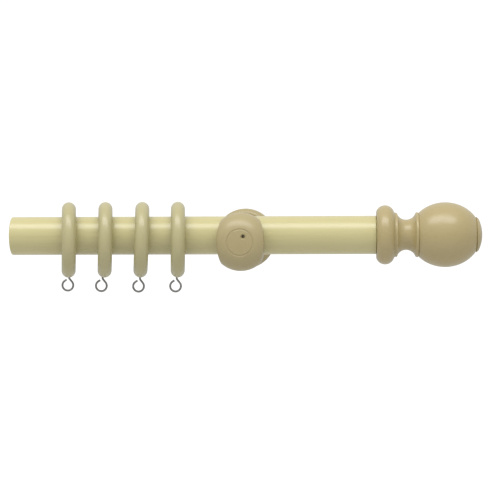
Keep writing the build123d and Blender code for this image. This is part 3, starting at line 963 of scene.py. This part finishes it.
ring_paint = painted_wood("cream paint on the rings", (0.405, 0.365, 0.185), 0.33,
                          (0.3, 1, 0.08), (1, 0, 0), 0.006, 0.006)
bare_ring = bare_wood("bare wood inside the rings", (0.02, 0, -0.02), (1, 1, 0.06))
eye_wire = metal_finish("dull nickel wire", (0.30, 0.295, 0.285), (0.07, 0.07, 0.06), 0.26,
                        (1, 1, 10), 500.0)
ring_width = 10.3
ring_depth = 10.5
ring_radius = rod_radius + 3.3 + ring_depth
ring_drop = 3.0
ring_first = -46.95
ring_pitch = 26.85
ring_yaw = (9.4, 8.2, 7.0, 5.7)
ring_lean = (0.8, 1.3, 2.2, 0.6)
eye_offset = (0.3, -1.4, -0.2, -0.7)
eye_stand_out = (0.0, 0.5, 0.9, 0.8)
wire_radius = 0.75
loop_radius = 3.95
loop_offset = 0.8
eye_drop = 5.6
eye_neck = 0.3
eye_bend = 1.5
eye_mouth = 2.0
shank_length = 8.0
shank_taper = 2.0
shank_point = 0.8
loop_steps = 48
bend_steps = 8


def eye_route():
    """The wire's middle line in millimetres: shank, bend, loop and the end that closes it."""
    bend = Vector((0, -eye_neck))
    loop = Vector((-loop_offset, -eye_drop))
    way = loop - bend
    side = sqrt(way.length ** 2 - loop_radius ** 2)
    aim = atan2(way.y, way.x)
    spread = asin(loop_radius / way.length)
    down = Vector((cos(aim + spread), sin(aim + spread)))
    back = Vector((cos(aim - spread), sin(aim - spread)))
    points = [Vector((0, place)) for place in rows(shank_length, eye_bend * 0.5, 0.12)]
    corner_start = bend + Vector((0, eye_bend * 0.6))
    corner_end = bend + down * eye_bend * 0.6
    for step in range(bend_steps + 1):
        t = step / bend_steps
        points.append(corner_start * (1 - t) ** 2 + bend * 2 * t * (1 - t) + corner_end * t ** 2)
    start = aim + spread + pi / 2
    sweep = (aim - spread - pi / 2 - start) % (2 * pi) - 2 * pi
    for step in range(loop_steps + 1):
        angle = start + sweep * step / loop_steps
        points.append(loop + Vector((cos(angle), sin(angle))) * loop_radius)
    points.append(bend + back * eye_mouth)
    return points


route = eye_route()
oval = section_arc((0, ring_radius - ring_depth / 2), (ring_width / 2, ring_depth / 2),
                   0, 360, 56)[:-1]
eye_hole = wire_radius * 0.001 + hole_play
for number in range(1, 5):
    hang = Matrix.Translation(((ring_first - (4 - number) * ring_pitch) * 0.001, rod_centre.y,
                               rod_centre.z - ring_drop * 0.001))
    hang = hang @ Matrix.Rotation(radians(ring_lean[number - 1]), 4, "Y")
    hang = hang @ Matrix.Rotation(radians(ring_yaw[number - 1]), 4, "Z")
    ring = new_piece(spun(oval, (0, 0, 0), along, 168, closed=True), f"wooden_ring_{number}")
    eye_x = eye_offset[number - 1] * 0.001
    cut(ring, drill(eye_hole, eye_hole, (eye_x, 0, -(ring_radius + 1) * 0.001),
                    (eye_x, 0, -(ring_radius - shank_length - 0.4) * 0.001), sides=24))
    ring.data.transform(hang)
    finish_piece(ring, f"ring_{number}", f"ring_{number}",
                 [ring_paint, bare_ring])

    line = bpy.data.curves.new("wire", "CURVE")
    line.dimensions = "3D"
    line.bevel_depth = wire_radius * 0.001
    line.bevel_resolution = 6
    line.use_fill_caps = True
    strand = line.splines.new("POLY")
    strand.points.add(len(route) - 1)
    for point, place in zip(strand.points, route):
        point.co = (place.x * 0.001, 0, place.y * 0.001, 1)
    wire = placed("wire", line)
    eye_mesh = bmesh.new()
    bent = wire.evaluated_get(bpy.context.evaluated_depsgraph_get())
    eye_mesh.from_mesh(bpy.data.meshes.new_from_object(bent))
    bpy.data.objects.remove(wire)
    bmesh.ops.remove_doubles(eye_mesh, verts=eye_mesh.verts, dist=0.00001)
    eye_mesh.verts.layers.float.new("ridge")
    eye_mesh.verts.layers.float.new("hollow")
    roll_thread(eye_mesh, (0, 0, 0), (0, 0, 1), 1.0, shank_length + 0.2, 0.9, 0.3, 0.15)
    for vert in eye_mesh.verts:
        taper = max(0.0, vert.co.z * 1000 - shank_length + shank_taper) / shank_taper
        vert.co.x *= 1 - shank_point * taper
        vert.co.y *= 1 - shank_point * taper
    bmesh.ops.recalc_face_normals(eye_mesh, faces=eye_mesh.faces)
    eye = new_piece(eye_mesh, f"wire_eye_{number}")
    eye_low = -(ring_radius + eye_stand_out[number - 1]) * 0.001
    eye.data.transform(hang @ Matrix.Translation((eye_x, 0, eye_low)))
    finish_piece(eye, f"eye_{number}", f"eye_{number}", [eye_wire], sharp=55)

# ---------- floor, light and camera
# A pale studio: a wide white floor well below the pole, an even white sky and one long soft box
# above and in front. The camera stands a little above the pole and a little to its right.

white = bpy.data.materials.new("pale floor")
white.use_nodes = True
white_tree = white.node_tree
white_shader = white_tree.nodes["Principled BSDF"]
white_place = put_node(white_tree, "ShaderNodeTexCoord").outputs["Object"]
white_cloud = noise_at(white_tree, white_place, 2.0)
white_tone = blended(white_tree, white_cloud, (0.65, 0.65, 0.65, 1), (0.67, 0.67, 0.67, 1))
white_tree.links.new(white_tone, white_shader.inputs["Base Color"])
white_shader.inputs["Roughness"].default_value = 0.9
white_shader.inputs["Specular IOR Level"].default_value = 0.0
white_shader.inputs["Emission Color"].default_value = (1, 1, 1, 1)
seen = put_node(white_tree, "ShaderNodeLightPath").outputs["Is Camera Ray"]
glow = product(white_tree, seen, 0.58)
white_tree.links.new(glow, white_shader.inputs["Emission Strength"])
floor_drop = 0.26
floor_mesh = bmesh.new()
bmesh.ops.create_grid(floor_mesh, x_segments=4, y_segments=4, size=40,
                      matrix=Matrix.Translation((0, 0, cad_low.z - floor_drop)))
floor = new_piece(floor_mesh, "floor")
floor.data.materials.append(white)

world = bpy.data.worlds.new("white sky")
bpy.context.scene.world = world
world.use_nodes = True
sky = world.node_tree
seen = put_node(sky, "ShaderNodeLightPath").outputs["Is Camera Ray"]
lit_and_seen = {"Value": seen, "To Min": 0.80, "To Max": 1.02}
brightness = put_node(sky, "ShaderNodeMapRange", lit_and_seen).outputs["Result"]
sky.nodes["Background"].inputs["Color"].default_value = (1, 1, 1, 1)
sky.links.new(brightness, sky.nodes["Background"].inputs["Strength"])

aim = Vector((0.0035, rod_centre.y, -0.0040))


def way_out(turn, height):
    """The direction from the aim to a stand, from its turn and height in degrees."""
    level = cos(radians(height))
    return Vector((sin(radians(turn)) * level, -cos(radians(turn)) * level, sin(radians(height))))


def soft_box(name, height, turn, distance, size, power):
    """An area light at a height and a turn in degrees round the aim, looking at it."""
    light = bpy.data.lights.new(name, "AREA")
    light.shape = "RECTANGLE"
    light.size = size[0]
    light.size_y = size[1]
    light.energy = power
    way = way_out(turn, height)
    lamp = placed(name, light)
    lamp.location = aim + way * distance
    lamp.rotation_euler = way.to_track_quat("Z", "Y").to_euler()


soft_box("key light", 61, -8, 1.2, (1.7, 0.6), 13.0)

camera_turn = 2.86
camera_height = 2.3
camera_distance = 1.15
camera_roll = -0.28
lens = bpy.data.cameras.new("camera")
lens.lens = 114.7
lens.clip_end = 200
camera = placed("camera", lens)
way = way_out(camera_turn, camera_height)
camera.location = aim + way * camera_distance
camera.rotation_euler = (way.to_track_quat("Z", "Y").to_matrix()
                         @ Matrix.Rotation(radians(camera_roll), 3, "Z")).to_euler()
bpy.context.scene.camera = camera
bpy.context.scene.view_settings.view_transform = "Standard"
